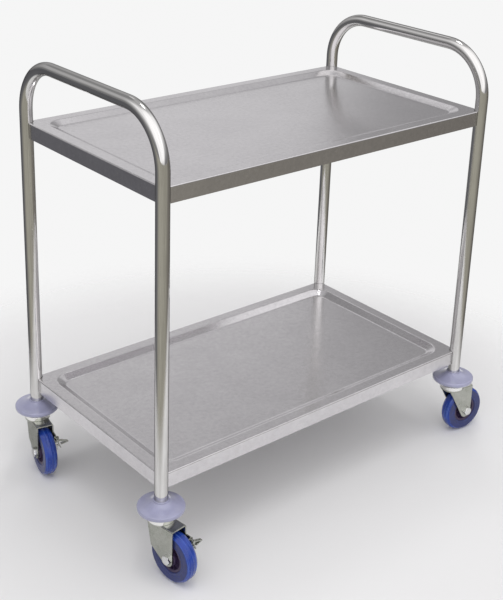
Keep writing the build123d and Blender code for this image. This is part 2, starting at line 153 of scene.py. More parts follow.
class Bench:
    """A node tree in which every node is made by one method."""

    def __init__(self, tree: bpy.types.NodeTree) -> None:
        """Empty the tree and keep it."""
        self.tree = tree
        tree.nodes.clear()

    def node(
        self,
        kind: str,
        settings: Optional[dict[str, Any]] = None,
        inputs: Optional[dict[Any, Any]] = None,
        output: Union[int, str] = 0,
    ) -> Wire:
        """Add a node, set it up and link it.

        Args:
            kind: the node's type name.
            settings: its properties.
            inputs: numbers, colours or wires for its sockets, by name or number.
            output: the socket that is handed back.

        Returns:
            The chosen output, or an empty wire from a node that only takes values in.
        """
        node = self.tree.nodes.new(kind)
        for name, value in (settings or {}).items():
            setattr(node, name, value)
        for key, value in (inputs or {}).items():
            if isinstance(value, Wire):
                self.tree.links.new(value.socket, node.inputs[key])
            else:
                node.inputs[key].default_value = value
        return Wire(self, node.outputs[output] if node.outputs else None)

    def blend(self, share: Number, first: Any, second: Any) -> Wire:
        """Mix two colours.

        Args:
            share: how much of the second colour shows.
            first: colour or wire at 0.
            second: colour or wire at 1.

        Returns:
            The mixed colour.
        """
        ends = [c if isinstance(c, Wire) else (*c, 1.0) for c in (first, second)]
        inputs = {MIX_SHARE: share, MIX_FIRST: ends[0], MIX_SECOND: ends[1]}
        return self.node("ShaderNodeMix", {"data_type": "RGBA"}, inputs, output=MIX_RESULT)

    def places(self, source: Places, grain: Grain = Grain.EVEN) -> Wire:
        """Coordinates on a piece, stretched for a grain.

        Args:
            source: object coordinates or the piece's own map.
            grain: direction of the grain.

        Returns:
            The coordinates, in metres before the stretch.
        """
        spot = self.node("ShaderNodeTexCoord", output=source.value)
        return self.node("ShaderNodeMapping", None, {"Vector": spot, "Scale": grain.value})

    def noise(self, where: Wire, pitch: float, detail: float = 2.0, rough: float = 0.5) -> Wire:
        """Soft noise.

        Args:
            where: coordinates.
            pitch: size of its patches in metres.
            detail: number of finer layers.
            rough: strength of the finer layers.

        Returns:
            Noise about its mean.
        """
        inputs = {"Vector": where, "Scale": 1.0 / pitch, "Detail": detail, "Roughness": rough}
        return self.node("ShaderNodeTexNoise", {"normalize": True}, inputs)

    def cells(self, where: Wire, pitch: float, output: str = "Color") -> Wire:
        """Random cells.

        Args:
            where: coordinates.
            pitch: size of a cell in metres.
            output: the Voronoi node's output.

        Returns:
            A value for each cell, or the distance to its middle.
        """
        return self.node("ShaderNodeTexVoronoi", None, {"Vector": where, "Scale": 1.0 / pitch}, output=output)

    def part(self, where: Wire, axis: str) -> Wire:
        """One coordinate of a vector."""
        return self.node("ShaderNodeSeparateXYZ", None, {"Vector": where}, output=axis)

    def along(self, where: Wire, direction: Triple) -> Wire:
        """Dot product of coordinates and a direction."""
        inputs = {0: where, 1: direction}
        return self.node("ShaderNodeVectorMath", {"operation": "DOT_PRODUCT"}, inputs, output="Value")

    def relief(self, height: Wire, depth: float, edge: float = 0.0) -> Wire:
        """Bump from a height.

        Args:
            height: value from 0 to 1.
            depth: its real depth in metres.
            edge: radius in metres to which sheared edges are broken.

        Returns:
            The bent normal.
        """
        inputs = {"Height": height, "Strength": 1.0, "Distance": depth}
        if edge > 0.0:
            inputs["Normal"] = self.node("ShaderNodeBevel", {"samples": EDGE_SAMPLES}, {"Radius": edge})
        return self.node("ShaderNodeBump", None, inputs)


def node_material(name: str, shader: Callable[[Bench], dict[str, Any]]) -> bpy.types.Material:
    """Make a node material with one surface shader.

    Args:
        name: the material's name.
        shader: gives the values and links of the surface shader's sockets.

    Returns:
        The material.
    """
    material = bpy.data.materials.new(name)
    material.use_nodes = True
    bench = Bench(material.node_tree)
    surface = bench.node("ShaderNodeBsdfPrincipled", None, shader(bench))
    bench.node("ShaderNodeOutputMaterial", None, {"Surface": surface})
    return material


@dataclass(frozen=True)
class Finish:
    """A finish: its slot in the record and what all finishes share."""

    slot: str
    colour: Colour
    drift: Colour
    roughness: float

    def material(self) -> bpy.types.Material:
        """The node material, named for the slot."""
        return node_material(f"{self.slot}_finish", self.shader)

    def shader(self, bench: Bench) -> dict[str, Any]:
        """Values and links of the surface shader's sockets.

        Args:
            bench: the material's node tree.

        Returns:
            Socket names with their values.
        """
        raise NotImplementedError


@dataclass(frozen=True)
class WorkedMetal(Finish):
    """Metal with a worked grain, cloudy handling marks and fine scuffs.

    The grain is fine lines and broad ones, mixed by fine_share, and grain_share mixes it with the clouds.
    """

    grain: Grain = Grain.EVEN
    places: Places = Places.OBJECT
    grain_pitch: float = 0.0016
    grain_depth: float = 0.00001
    grain_share: float = 0.5
    fine_share: float = 0.45
    broad_scale: float = 7.0
    cloud_pitch: float = 0.14
    contrast: Pair = (0.3, 0.7)
    roughness_spread: float = 0.1
    scuff_scale: float = 9.0
    scuff_edge: Pair = (0.10, 0.02)
    scuff_roughness: float = 0.05
    edge_tint: float = 0.5

    def shader(self, bench: Bench) -> dict[str, Any]:
        """Grain and clouds vary the colour and the roughness, and the fine lines give the relief.

        Args:
            bench: the material's node tree.

        Returns:
            Socket names with their values.
        """
        flat = bench.places(self.places)
        along = bench.places(self.places, self.grain)
        lines = bench.noise(along, self.grain_pitch, detail=3.0, rough=0.65)
        broad = bench.noise(along, self.grain_pitch * self.broad_scale)
        clouds = bench.noise(flat, self.cloud_pitch, detail=4.0, rough=0.55)
        scuffs = bench.cells(along, self.grain_pitch * self.scuff_scale, "Distance").band(*self.scuff_edge)
        worked = lines * self.fine_share + broad * (1.0 - self.fine_share)
        wear = worked * self.grain_share + clouds * (1.0 - self.grain_share)
        spread = (wear - NOISE_MEAN) * (2 * self.roughness_spread)
        return {
            "Base Color": bench.blend(wear.band(*self.contrast), self.colour, self.drift),
            "Metallic": 1.0,
            "Roughness": self.roughness + spread + scuffs * self.scuff_roughness,
            "Specular Tint": (self.edge_tint, self.edge_tint, self.edge_tint, 1.0),
            "Normal": bench.relief(lines, self.grain_depth),
        }


@dataclass(frozen=True)
class PlatedSteel(Finish):
    """Zinc plating: small crystals in a slightly yellow and green passivated skin.

    Above the height turned_from, the metal is turned bright, as on the forks' bearing cups.
    """

    crystal_pitch: float = 0.004
    crystal_share: float = 0.35
    crystal_roughness: float = 0.06
    cloud_pitch: float = 0.018
    cloud_edge: Pair = (0.35, 0.7)
    cloud_roughness: float = 0.2
    pit_pitch: float = 0.0007
    pit_depth: float = 0.00003
    edge_tint: float = 0.5
    broken_edge: float = 0.0007
    turned: Colour = (0.93, 0.93, 0.91)
    turned_from: float = 1.0
    turned_fade: float = 0.0005
    turned_polish: float = 0.08

    def shader(self, bench: Bench) -> dict[str, Any]:
        """Crystal cells shift the tone, clouds of the skin shift the colour, and the turned part is bright.

        Args:
            bench: the material's node tree.

        Returns:
            Socket names with their values.
        """
        flat = bench.places(Places.OBJECT)
        crystals = bench.cells(flat, self.crystal_pitch)
        tone = bench.node("ShaderNodeSeparateColor", None, {"Color": crystals})
        clouds = bench.noise(flat, self.cloud_pitch, detail=3.0, rough=0.6)
        pits = bench.noise(flat, self.pit_pitch, detail=2.0, rough=0.7)
        skin = tone * self.crystal_share + clouds.band(*self.cloud_edge) * (1.0 - self.crystal_share)
        shade = bench.blend(skin, self.colour, self.drift)
        bright = bench.part(flat, "Z").band(self.turned_from, self.turned_from + self.turned_fade)
        rough = self.roughness + (clouds - NOISE_MEAN) * self.cloud_roughness + tone * self.crystal_roughness
        return {
            "Base Color": bench.blend(bright, shade, self.turned),
            "Metallic": 1.0,
            "Roughness": rough - bright * self.turned_polish,
            "Specular Tint": (self.edge_tint, self.edge_tint, self.edge_tint, 1.0),
            "Normal": bench.relief(pits, self.pit_depth, self.broken_edge),
        }


@dataclass(frozen=True)
class Moulded(Finish):
    """Moulded plastic or rubber: fine eroded texture, cloudy tone and dust."""

    texture_pitch: float = 0.0012
    texture_depth: float = 0.00003
    cloud_pitch: float = 0.022
    contrast: Pair = (0.3, 0.7)
    speck_pitch: float = 0.004
    speck_roughness: float = 0.16
    dust: Colour = (0.5, 0.5, 0.5)
    dust_share: float = 0.08
    dust_cloudy: float = 0.5
    dust_edge: Pair = (0.5, 0.75)
    dust_roughness: float = 0.5
    coat: float = 0.0
    coat_roughness: float = 0.12
    gloss: float = 0.5

    def shader(self, bench: Bench) -> dict[str, Any]:
        """Fine texture in the relief, clouds in the colour, and patchy dust that is paler and duller.

        Args:
            bench: the material's node tree.

        Returns:
            Socket names with their values.
        """
        flat = bench.places(Places.OBJECT)
        skin = bench.noise(flat, self.texture_pitch, detail=3.0, rough=0.6)
        clouds = bench.noise(flat, self.cloud_pitch, detail=3.0, rough=0.55)
        specks = bench.noise(flat, self.speck_pitch, detail=5.0, rough=0.7)
        shade = bench.blend(clouds.band(*self.contrast), self.colour, self.drift)
        patches = clouds * self.dust_cloudy + specks * (1.0 - self.dust_cloudy)
        dusty = patches.band(*self.dust_edge) * self.dust_share
        uneven = (specks - NOISE_MEAN) * self.speck_roughness
        return {
            "Base Color": bench.blend(dusty, shade, self.dust),
            "Roughness": self.roughness + uneven + dusty * self.dust_roughness,
            "Specular IOR Level": self.gloss,
            "Coat Weight": self.coat,
            "Coat Roughness": self.coat_roughness,
            "Normal": bench.relief(skin, self.texture_depth),
        }


@dataclass(frozen=True)
class TyreRubber(Moulded):
    """Glossy elastic tyre with paler rings painted round the tread as a sheen, and scuffed dark flanks.

    Its map's first length runs over flank, tread and flank, and the second one round the tyre.
    """

    flank: Colour = (0.1, 0.1, 0.12)
    flank_share: float = 0.68
    flank_roughness: float = 0.2
    scuff_pitch: float = 0.006
    scuff_share: float = 0.6
    # ring is the colour of the painted sheen along the tread.
    ring: Colour = (0.15, 0.30, 0.75)
    sheen_ring_share: float = 0.35
    sheen_ring_pitch: float = 0.0016
    sheen_ring_edge: Pair = (0.48, 0.70)
    tread_middle: float = 0.0325
    tread_half: float = 0.0125
    tread_fade: float = 0.003

    def shader(self, bench: Bench) -> dict[str, Any]:
        """The moulded rubber, with a painted sheen of paler rings along the tread, and darker and duller
        beyond its edges.

        Args:
            bench: the material's node tree.

        Returns:
            Socket names with their values.
        """
        inputs = super().shader(bench)
        over = bench.part(bench.places(Places.SURFACE), "X")
        beyond = abs(over - self.tread_middle).band(self.tread_half, self.tread_half + self.tread_fade)
        # Paler rings along the tread are a painted sheen.
        round_tyre = bench.places(Places.SURFACE, Grain.ROUND_TYRE)
        rings = bench.noise(round_tyre, self.sheen_ring_pitch, detail=3.0, rough=0.6)
        pale = rings.band(*self.sheen_ring_edge) * (1.0 - beyond) * self.sheen_ring_share
        shade = bench.blend(pale, inputs["Base Color"], self.ring)
        scuffs = bench.noise(bench.places(Places.OBJECT), self.scuff_pitch, detail=4.0, rough=0.7)
        worn = beyond * (self.flank_share + (scuffs - NOISE_MEAN) * self.scuff_share)
        inputs["Base Color"] = bench.blend(worn, shade, self.flank)
        inputs["Roughness"] = inputs["Roughness"] + worn * self.flank_roughness
        return inputs


FINISHES: dict[str, Finish] = {look.slot: look for look in (
    WorkedMetal(
        slot="polished_tube", colour=(0.80, 0.795, 0.785), drift=(0.64, 0.632, 0.62), roughness=0.07,
        grain=Grain.ALONG_TUBE, places=Places.SURFACE, grain_pitch=0.0009, grain_share=0.85,
        roughness_spread=0.03, cloud_pitch=0.09, edge_tint=0.3, grain_depth=0.000002, contrast=(0.40, 0.60),
    ),
    WorkedMetal(
        slot="satin_sheet", colour=(0.76, 0.745, 0.76), drift=(0.65, 0.635, 0.652), roughness=0.2,
        grain_pitch=0.001, grain_share=0.7, roughness_spread=0.05, cloud_pitch=0.1, edge_tint=0.9,
        grain_depth=0.000002,
    ),
    WorkedMetal(
        slot="plain_steel", colour=(0.45, 0.44, 0.43), drift=(0.38, 0.37, 0.36), roughness=0.3,
        cloud_pitch=0.02, grain_pitch=0.0009,
    ),
    PlatedSteel(
        slot="zinc_plate", colour=(0.50, 0.505, 0.465), drift=(0.39, 0.405, 0.36), roughness=0.2,
        turned_from=0.1125,
    ),
    PlatedSteel(
        slot="bright_fastener", colour=(0.85, 0.86, 0.87), drift=(0.76, 0.76, 0.74), roughness=0.2,
        crystal_pitch=0.0016,
    ),
    Moulded(
        slot="grey_plastic", colour=(0.335, 0.34, 0.49), drift=(0.30, 0.305, 0.445), roughness=0.3,
        dust=(0.62, 0.62, 0.66), dust_share=0.12, coat=1.0, coat_roughness=0.08,
    ),
    Moulded(
        slot="nylon", colour=(0.66, 0.65, 0.58), drift=(0.60, 0.58, 0.50), roughness=0.42,
    ),
    TyreRubber(
        slot="blue_tyre", colour=(0.010, 0.042, 0.32), drift=(0.008, 0.032, 0.24), roughness=0.24,
        dust=(0.24, 0.27, 0.45), dust_share=0.1, coat=0.3, gloss=0.35, flank=(0.025, 0.025, 0.055),
    ),
    Moulded(
        slot="wheel_centre", colour=(0.042, 0.024, 0.07), drift=(0.034, 0.019, 0.058), roughness=0.4,
        dust=(0.2, 0.18, 0.22), dust_share=0.15,
    ),
)}


@cache
def finish(slot: str) -> bpy.types.Material:
    """The node material of one of the record's slots, made once."""
    return FINISHES[slot].material()


def dress(node: str, slot: str) -> None:
    """Give a carried-over solid its node material.

    Args:
        node: the solid's node name.
        slot: the record's slot name.
    """
    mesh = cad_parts[node].data
    mesh.materials.clear()
    mesh.materials.append(finish(slot))
    log.info("dressed %s as %s", node, slot)


@dataclass(frozen=True)
class Axes:
    """A place and three square directions, for points given by their own coordinates."""

    origin: np.ndarray
    first: np.ndarray
    second: np.ndarray
    third: np.ndarray

    def put(self, a: np.ndarray, b: np.ndarray, c: np.ndarray) -> np.ndarray:
        """Points at given coordinates: the origin plus each coordinate times its direction.

        Args:
            a: coordinates along the first direction.
            b: coordinates along the second.
            c: coordinates along the third.

        Returns:
            The points, with one more dimension than the coordinates.
        """
        a, b, c = np.broadcast_arrays(a, b, c)
        spread = a[..., None] * self.first + b[..., None] * self.second + c[..., None] * self.third
        return self.origin + spread


def circle(count: int) -> np.ndarray:
    """Angles of an even round, without the closing one."""
    return np.linspace(0.0, 2 * np.pi, count, endpoint=False)


def each(values: np.ndarray, angles: np.ndarray) -> np.ndarray:
    """The values as rows, repeated for every angle."""
    return np.repeat(values[:, None], angles.size, axis=1)


def rounded(corners: np.ndarray, radii: np.ndarray, steps: int = 7) -> np.ndarray:
    """Closed outline with its corners rounded.

    Each corner becomes an arc that touches both its sides: its centre lies on the corner's bisector, and the
    arc turns evenly from one touching point to the other. A radius of 0 leaves the corner sharp.

    Args:
        corners: corner points, k × 2.
        radii: radius at each corner.
        steps: points on each arc.

    Returns:
        The outline's points, (k · steps) × 2.
    """
    before = np.roll(corners, 1, axis=0) - corners
    after = np.roll(corners, -1, axis=0) - corners
    before /= np.linalg.norm(before, axis=1, keepdims=True)
    after /= np.linalg.norm(after, axis=1, keepdims=True)
    half = np.arccos(np.clip(np.sum(before * after, axis=1), -1.0, 1.0)) / 2
    reach = (radii / np.tan(half))[:, None]
    middle = before + after
    middle /= np.linalg.norm(middle, axis=1, keepdims=True)
    centre = corners + middle * (radii / np.sin(half))[:, None]
    start = (corners + before * reach - centre)[:, None]
    end = (corners + after * reach - centre)[:, None]
    turn = (np.pi - 2 * half)[:, None, None]
    share = np.linspace(0.0, 1.0, steps)[None, :, None]
    arc = (np.sin((1 - share) * turn) * start + np.sin(share * turn) * end) / np.sin(turn)
    return (centre[:, None] + arc).reshape(-1, 2)


@dataclass
class Shell:
    """One mesh in the making, gathered from grids of points, each with a map of real lengths."""

    points: list[np.ndarray] = field(default_factory=list)
    faces: list[np.ndarray] = field(default_factory=list)
    maps: list[np.ndarray] = field(default_factory=list)
    count: int = 0

    def grid(self, points: np.ndarray, wrap_rows: bool = False, wrap_columns: bool = False) -> None:
        """Add a surface. It faces the way of its columns' direction crossed with its rows' direction.

        Args:
            points: rows × columns × 3 points.
            wrap_rows: whether the last row joins the first.
            wrap_columns: whether the last column joins the first.
        """
        rows, columns = points.shape[:2]
        number = self.count + np.arange(rows * columns).reshape(rows, columns)
        closed = points
        if wrap_columns:
            number = np.concatenate([number, number[:, :1]], axis=1)
            closed = np.concatenate([closed, closed[:, :1]], axis=1)
        if wrap_rows:
            number = np.concatenate([number, number[:1]], axis=0)
            closed = np.concatenate([closed, closed[:1]], axis=0)
        down = np.linalg.norm(np.diff(closed, axis=0), axis=2).mean(axis=1)
        across = np.linalg.norm(np.diff(closed, axis=1), axis=2).max(axis=0)
        u = np.concatenate([[0.0], np.cumsum(down)])
        v = np.concatenate([[0.0], np.cumsum(across)])
        spots = np.stack(np.meshgrid(u, v, indexing="ij"), axis=-1)
        near, far = slice(None, -1), slice(1, None)
        corners = (near, near), (near, far), (far, far), (far, near)
        self.faces.append(np.stack([number[c] for c in corners], axis=-1).reshape(-1, 4))
        self.maps.append(np.stack([spots[c] for c in corners], axis=2).reshape(-1, 2))
        self.points.append(points.reshape(-1, 3))
        self.count += rows * columns

    def turned(
        self, axes: Axes, radius: np.ndarray, height: np.ndarray, angles: np.ndarray, closed: bool
    ) -> None:
        """Add a turned surface: an outline carried round the third direction.

        Args:
            axes: place and directions, the third one being the axis.
            radius: outline's distances from the axis, or rows × angles where they change round it.
            height: outline's places along the axis, of the same shape.
            angles: angles of the columns.
            closed: whether the outline is a loop.
        """
        radius = radius[:, None] if radius.ndim == 1 else radius
        height = height[:, None] if height.ndim == 1 else height
        points = axes.put(radius * np.cos(angles), radius * np.sin(angles), height + 0 * angles)
        self.grid(points, wrap_rows=closed, wrap_columns=True)

    def build(self, name: str, sharp: float = 32.0) -> bpy.types.Object:
        """Make the mesh object: weld seams and poles, and keep edges sharp where the faces turn far.

        Args:
            name: the piece's name.
            sharp: angle in degrees from which an edge stays sharp.

        Returns:
            The object, at the origin.
        """
        mesh = bpy.data.meshes.new(name)
        mesh.from_pydata(np.concatenate(self.points), [], np.concatenate(self.faces))
        layer = mesh.uv_layers.new(name="lengths")
        layer.data.foreach_set("uv", np.concatenate(self.maps).astype(np.float32).ravel())
        work = bmesh.new()
        work.from_mesh(mesh)
        bmesh.ops.remove_doubles(work, verts=work.verts, dist=WELD_DISTANCE)
        work.to_mesh(mesh)
        work.free()
        mesh.polygons.foreach_set("use_smooth", np.ones(len(mesh.polygons), dtype=bool))
        mesh.set_sharp_from_angle(angle=math.radians(sharp))
        piece = bpy.data.objects.new(name, mesh)
        bpy.context.collection.objects.link(piece)
        return piece


def fit(piece: bpy.types.Object, slot: str, body: str, *nodes: str) -> None:
    """Dress a new piece and put it in the place of its solids.

    Args:
        piece: the new piece.
        slot: the record's slot that it takes its finish from.
        body: the body that it rides on.
        nodes: the solids that it stands for.
    """
    piece.data.materials.append(finish(slot))
    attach(piece, body)
    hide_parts(*nodes)
    log.info("fitted %s in place of %s", piece.name, ", ".join(nodes))


@dataclass
class EndFrame:
    """Leg, handle and leg of one bent tube."""

    name: str
    x: float
    half_spacing: float = HALF_WIDTH
    foot: float = LEG_FOOT
    handle: float = 862.45 * MM
    bend: float = 97.0 * MM
    radius: float = 12.5 * MM
    wall: float = 1.2 * MM
    leg_rows: int = 13
    bend_rows: int = 30
    handle_rows: int = 6
    columns: int = 56

    def path(self) -> tuple[np.ndarray, np.ndarray, np.ndarray]:
        """Centre line: up a leg, round a quarter turn, along the handle, round again and down.

        Returns:
            Places along Y, places along Z, and the angle turned so far.
        """
        shoulder = self.handle - self.bend
        inner = self.half_spacing - self.bend
        quarter = np.pi / 2
        leg = np.linspace(self.foot, shoulder, self.leg_rows + 1)
        turn = np.linspace(0.0, quarter, self.bend_rows)
        straight = np.linspace(-inner, inner, self.handle_rows + 2)[1:-1]
        y = [
            np.full(self.leg_rows, -self.half_spacing), -inner - self.bend * np.cos(turn), straight,
            inner + self.bend * np.sin(turn), np.full(self.leg_rows, self.half_spacing),
        ]
        z = [
            leg[:-1], shoulder + self.bend * np.sin(turn), np.full(self.handle_rows, self.handle),
            shoulder + self.bend * np.cos(turn), leg[-2::-1],
        ]
        angle = [
            np.zeros(self.leg_rows), turn, np.full(self.handle_rows, quarter), quarter + turn,
            np.full(self.leg_rows, np.pi),
        ]
        return np.concatenate(y), np.concatenate(z), np.concatenate(angle)

    def build(self) -> None:
        """Carry a circle along the centre line outside and, in return, inside, which closes the wall."""
        y, z, angle = self.path()
        angles = circle(self.columns)
        wall = np.concatenate([np.full(y.size, self.radius), np.full(y.size, self.radius - self.wall)])
        order = np.concatenate([np.arange(y.size), np.arange(y.size)[::-1]])
        y, z, angle = y[order, None], z[order, None], angle[order, None]
        side = wall[:, None] * np.cos(angles)
        off = wall[:, None] * np.sin(angles)
        points = np.stack([self.x + side, y + off * np.cos(angle), z - off * np.sin(angle)], axis=-1)
        shell = Shell()
        shell.grid(points, wrap_rows=True, wrap_columns=True)
        fit(shell.build(f"{self.name}_tube"), "polished_tube", "trolley_frame", self.name)


@dataclass
class Castor:
    """Bumper, wheel and axle of one leg. The fork turns about the leg and trails along the heading.

    Outlines are in millimetres: distances from the axis, and places along it from the wheel's middle or, for
    the bolt's head and the nut, from their first face. Rounds are the radii at an outline's corners, also in
    millimetres. The rows of core_ribbed are 1 where ribs lift the core. Those of tip_chamfer say how far the
    bolt's end lies inside the axle's radius and before its tip.
    """

    corner: str
    x: float
    y: float
    heading: float
    trail: float = 35.0 * MM
    axle_height: float = 50.0 * MM
    fork_half: float = 17.5 * MM
    bumper_base: float = 123.45 * MM
    bumper_top: float = 152.45 * MM
    bumper_radius: float = 44.0 * MM
    bumper_flare: float = 2.4 * MM
    bumper_columns: int = 96
    rim_low: float = 9.5 * MM
    rim_high: float = 17.5 * MM
    cup_radius: float = 25.0 * MM
    cone_rows: int = 10
    collar_radius: float = 15.15 * MM
    collar_height: float = 2.5 * MM
    leg_foot: float = LEG_FOOT
    leg_bore: float = 12.55 * MM
    stem_bore: float = 6.05 * MM
    under_rounds: tuple[float, ...] = (0.0, 1.2, 3.0)
    rim_round: float = 3.0
    neck_round: float = 1.0
    socket_rounds: tuple[float, ...] = (0.8, 0.3, 0.0, 0.0)
    tyre_half: Outline = (
        (28.05, 11.0), (29.5, 12.9), (32.4, 12.9), (32.9, 12.5), (33.9, 12.5), (34.4, 12.9), (44.7, 12.9),
        (46.2, 12.0), (49.9, 6.5), (49.8, 0.5), (50.0, 0.2),
    )
    tyre_rounds: tuple[float, ...] = (0.0, 1.0, 0.2, 0.2, 0.2, 0.2, 1.6, 1.2, 1.6, 0.0, 0.0)
    tyre_columns: int = 128
    core_half: Outline = (
        (9.66, 13.5), (13.1, 13.5), (13.9, 12.6), (14.4, 4.6), (15.2, 4.0), (18.0, 4.0), (20.6, 4.0),
        (22.2, 4.4), (23.4, 10.2), (24.2, 11.0), (28.0, 11.0),
    )
    core_ribbed: tuple[float, ...] = (0.0, 0.0, 0.0, 1.0, 1.0, 1.0, 1.0, 1.0, 0.0, 0.0, 0.0)
    core_columns: int = 192
    ribs: int = 10
    rib_height: float = 10.0 * MM
    rib_crest: float = 1.6
    rib_slope: float = 22.0
    hex_across: float = 17.0 * MM
    hex_columns: int = 96
    head_outline: Outline = (
        (0.0, 0.0), (8.0, 0.0), (8.6, 0.35), (9.3, 0.8), (10.2, 1.3), (12.0, 2.6), (12.0, 4.6), (12.0, 6.4),
    )
    head_height: float = 6.4 * MM
    axle_radius: float = 5.0 * MM
    thread_length: float = 11.5 * MM
    thread_pitch: float = 1.5 * MM
    thread_depth: float = 0.75 * MM
    thread_runout: float = 1.0 * MM
    thread_rows: int = 70
    tip_chamfer: Outline = ((0.9, 0.5), (1.4, 0.0))
    nut_outline: Outline = (
        (5.05, 0.0), (8.4, 0.0), (9.1, 0.35), (12.0, 1.2), (12.0, 6.6), (9.6, 7.2), (8.8, 7.7), (8.2, 8.0),
        (7.3, 8.1), (7.3, 9.2), (7.0, 9.7), (6.4, 10.0), (5.6, 10.0), (5.05, 9.7),
    )

    def axle(self) -> Axes:
        """Axes at the wheel's middle: up, along the trail, and along the axle to the nut's side.

        Returns:
            The axes, with the axle as the third direction.
        """
        turn = math.radians(self.heading)
        trail = np.array([math.cos(turn), math.sin(turn), 0.0])
        across = np.array([-math.sin(turn), math.cos(turn), 0.0])
        hub = np.array([self.x, self.y, self.axle_height]) + trail * self.trail
        return Axes(hub, np.array([0.0, 0.0, 1.0]), trail, across)

    def bumper(self) -> None:
        """Plastic disc: a hollow cone above, a cupped underside and a collar, turned about the leg.

        The cone runs straight from the rim to the collar, less a parabola that is deepest half way.
        """
        base, top, foot = self.bumper_base, self.bumper_top, self.leg_foot
        up = np.linspace(0.0, 1.0, self.cone_rows)
        rim = np.array([self.bumper_radius, base + self.rim_high])
        collar = np.array([self.collar_radius, top - self.collar_height])
        cone = rim + up[:, None] * (collar - rim)
        cone[:, 1] -= 4 * self.bumper_flare * up * (1 - up)
        under = np.array([
            (self.stem_bore, base), (self.cup_radius, base), (self.bumper_radius, base + self.rim_low),
        ])
        socket = np.array([
            (self.collar_radius, top), (self.leg_bore, top), (self.leg_bore, foot), (self.stem_bore, foot),
        ])
        cone_rounds = (self.rim_round, *(0.0,) * (self.cone_rows - 2), self.neck_round)
        radii = np.array([*self.under_rounds, *cone_rounds, *self.socket_rounds]) * MM
        outline = rounded(np.concatenate([under, cone, socket]), radii)
        leg = Axes(np.array([self.x, self.y, 0.0]), *np.eye(3))
        shell = Shell()
        shell.turned(leg, outline[:, 0], outline[:, 1], circle(self.bumper_columns), closed=True)
        piece = shell.build(f"{self.corner}_bumper_disc", sharp=50.0)
        fit(piece, "grey_plastic", "trolley_frame", f"{self.corner}_bumper")

    def tyre(self) -> None:
        """Tyre: flat tread with a fine parting ridge, bevelled shoulders, and flanks with a moulded ring.

        The outline is one half, mirrored in the wheel's middle plane, rounded and turned about the axle.
        """
        half = np.array(self.tyre_half)
        corners = np.concatenate([half * np.array([1.0, -1.0]), half[::-1]]) * MM
        rounds = np.array([*self.tyre_rounds, *self.tyre_rounds[::-1]]) * MM
        outline = rounded(corners, rounds, steps=5)
        shell = Shell()
        shell.turned(self.axle(), outline[:, 0], outline[:, 1], circle(self.tyre_columns), closed=True)
        piece = shell.build(f"{self.corner}_tyre_moulded", sharp=40.0)
        fit(piece, "blue_tyre", f"{self.corner}_wheel", f"{self.corner}_tyre")

    def core(self) -> None:
        """Wheel core: hub, web and rim turned about the axle, with ribs that lift the web.

        Round the core, a rib's lift falls off evenly from its middle and is held between 0 and 1.
        """
        half = np.array(self.core_half) * MM
        angles = circle(self.core_columns)
        beside = np.abs((angles * self.ribs / (2 * np.pi)) % 1.0 - 0.5)
        rib = np.clip(self.rib_crest - beside * self.rib_slope, 0.0, 1.0)
        lift = np.array(self.core_ribbed)[:, None] * rib * (self.rib_height - half[:, 1, None])
        upper = half[:, 1, None] + np.clip(lift, 0.0, None)
        radius = each(np.concatenate([half[:, 0], half[::-1, 0]]), angles)
        height = np.concatenate([-upper, upper[::-1]])
        shell = Shell()
        shell.turned(self.axle(), radius, height, angles, closed=True)
        piece = shell.build(f"{self.corner}_core_ribbed", sharp=30.0)
        fit(piece, "wheel_centre", f"{self.corner}_wheel", f"{self.corner}_wheel_core")

    def hexagon(self, angles: np.ndarray) -> np.ndarray:
        """Reach of the hexagon: half its width over the cosine of the angle from a side's middle."""
        apart = (angles + np.pi / 6) % (np.pi / 3) - np.pi / 6
        return self.hex_across / 2 / np.cos(apart)

    def bolt(self) -> None:
        """Axle bolt: chamfered hexagon head, plain shank and thread, turned about the axle.

        Where the head's corners reach past the chamfer cone, the cone cuts them back. The thread deepens
        evenly on both sides of a ridge that climbs one pitch a turn.
        """
        angles = circle(self.hex_columns)
        head = np.array(self.head_outline) * MM
        face = -self.fork_half
        tip = self.fork_half + self.thread_length
        turns = np.linspace(self.fork_half, tip - self.thread_runout, self.thread_rows)
        ridge = np.abs(((turns[:, None] / self.thread_pitch - angles / (2 * np.pi)) % 1.0) * 2 - 1)
        chamfer = np.array([self.axle_radius, tip]) - np.array(self.tip_chamfer) * MM
        end = np.concatenate([chamfer, [(0.0, tip)]])
        radius = np.concatenate([
            np.minimum(head[:, :1], self.hexagon(angles)),
            np.full((2, angles.size), self.axle_radius),
            self.axle_radius - self.thread_depth * (1 - ridge),
            each(end[:, 0], angles),
        ])
        places = [face - self.head_height + head[:, 1], [face, self.fork_half], turns, end[:, 1]]
        height = each(np.concatenate(places), angles)
        shell = Shell()
        shell.turned(self.axle(), radius, height, angles, closed=False)
        piece = shell.build(f"{self.corner}_axle_hex", sharp=25.0)
        fit(piece, "bright_fastener", f"{self.corner}_castor", f"{self.corner}_axle_bolt")

    def nut(self) -> None:
        """Lock nut: chamfered hexagon with a rounded collar, as a ring turned round the bolt.

        The hexagon cuts back the outline where that reaches past its sides.
        """
        angles = circle(self.hex_columns)
        outline = np.array(self.nut_outline) * MM
        radius = np.minimum(outline[:, :1], self.hexagon(angles))
        height = self.fork_half + each(outline[:, 1], angles)
        shell = Shell()
        shell.turned(self.axle(), radius, height, angles, closed=True)
        piece = shell.build(f"{self.corner}_nut_hex", sharp=25.0)
        fit(piece, "bright_fastener", f"{self.corner}_castor", f"{self.corner}_axle_nut")

    def build(self) -> None:
        """Make every new piece of this castor."""
        for make in (self.bumper, self.tyre, self.core, self.bolt, self.nut):
            make()


